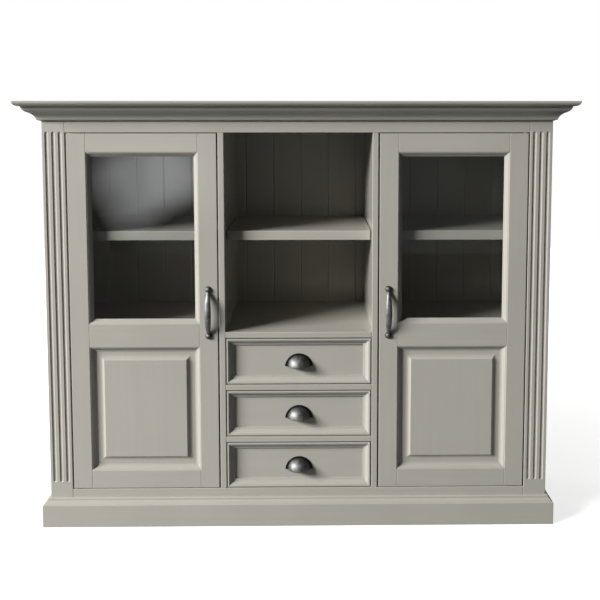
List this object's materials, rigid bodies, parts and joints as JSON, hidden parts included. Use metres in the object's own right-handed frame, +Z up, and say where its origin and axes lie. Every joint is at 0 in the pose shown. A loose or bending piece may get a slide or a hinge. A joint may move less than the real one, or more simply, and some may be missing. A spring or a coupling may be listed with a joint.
{
  "type": "highboard",
  "caption": "Painted country-style highboard with glazed panel doors either side of an open shelved bay over drawers, fluted pilasters, moulded cornice and plinth.",
  "frame": {"origin": "on the floor, under the middle of the whole piece with the cornice counted in its width and depth", "axes": "+Z up, front towards -Y, +X to the right when facing the front"},
  "size_m": [1.697, 0.4556, 1.337],
  "materials": {
    "grey_paint": "warm grey satin lacquer on solid wood",
    "raw_pine": "planed pine, unpainted",
    "antique_iron": "antique dark pewter look, burnished",
    "steel": "zinc plated",
    "brass": "turned",
    "catch_plastic": "moulded",
    "glass": "clear float glass"
  },
  "bodies": {
    "carcass": {"side_panel_left": "grey_paint", "side_panel_right": "grey_paint", "partition_left": "grey_paint", "partition_right": "grey_paint", "pilaster_left": "grey_paint", "pilaster_right": "grey_paint", "bottom_panel": "grey_paint", "top_board": "grey_paint", "back_boards": "grey_paint", "frieze_rail": "grey_paint", "bottom_rail": "grey_paint", "bay_floor": "grey_paint", "plinth_front": "grey_paint", "plinth_returns": "grey_paint", "cornice_front": "grey_paint", "cornice_returns": "grey_paint", "centre_shelf": "grey_paint", "side_shelves": "grey_paint", "shelf_pegs": "steel", "drawer_rails": "grey_paint", "drawer_runners": "raw_pine", "drawer_stops": "raw_pine", "base_bearers": "raw_pine", "door_pivots": "steel", "door_catches": "catch_plastic"},
    "left_door": {"left_door_outer_stile": "grey_paint", "left_door_inner_stile": "grey_paint", "left_door_rails": "grey_paint", "left_door_panel": "grey_paint", "left_door_glass": "glass", "left_door_glazing_beads": "grey_paint", "left_door_pivot_bushes": "brass", "left_door_handle": "antique_iron", "left_door_handle_screws": "steel", "left_door_strike_plate": "steel"},
    "right_door": {"right_door_outer_stile": "grey_paint", "right_door_inner_stile": "grey_paint", "right_door_rails": "grey_paint", "right_door_panel": "grey_paint", "right_door_glass": "glass", "right_door_glazing_beads": "grey_paint", "right_door_pivot_bushes": "brass", "right_door_handle": "antique_iron", "right_door_handle_screws": "steel", "right_door_strike_plate": "steel"},
    "bottom_drawer": {"bottom_drawer_front": "grey_paint", "bottom_drawer_walls": "raw_pine", "bottom_drawer_bottom": "raw_pine", "bottom_drawer_pull": "antique_iron", "bottom_drawer_pull_screws": "steel"},
    "middle_drawer": {"middle_drawer_front": "grey_paint", "middle_drawer_walls": "raw_pine", "middle_drawer_bottom": "raw_pine", "middle_drawer_pull": "antique_iron", "middle_drawer_pull_screws": "steel"},
    "top_drawer": {"top_drawer_front": "grey_paint", "top_drawer_walls": "raw_pine", "top_drawer_bottom": "raw_pine", "top_drawer_pull": "antique_iron", "top_drawer_pull_screws": "steel"}
  },
  "joints": [
    {"name": "left_door_hinge", "type": "hinge", "parent": "carcass", "child": "left_door", "pos_m": [-0.701, -0.15725, 0.1162], "axis": [0, 0, -1], "range_deg": [0, 110]},
    {"name": "right_door_hinge", "type": "hinge", "parent": "carcass", "child": "right_door", "pos_m": [0.701, -0.15725, 0.1162], "axis": [0, 0, 1], "range_deg": [0, 110]},
    {"name": "bottom_drawer_slide", "type": "slide", "parent": "carcass", "child": "bottom_drawer", "axis": [0, -1, 0], "range_m": [0, 0.27]},
    {"name": "middle_drawer_slide", "type": "slide", "parent": "carcass", "child": "middle_drawer", "axis": [0, -1, 0], "range_m": [0, 0.27]},
    {"name": "top_drawer_slide", "type": "slide", "parent": "carcass", "child": "top_drawer", "axis": [0, -1, 0], "range_m": [0, 0.27]}
  ]
}
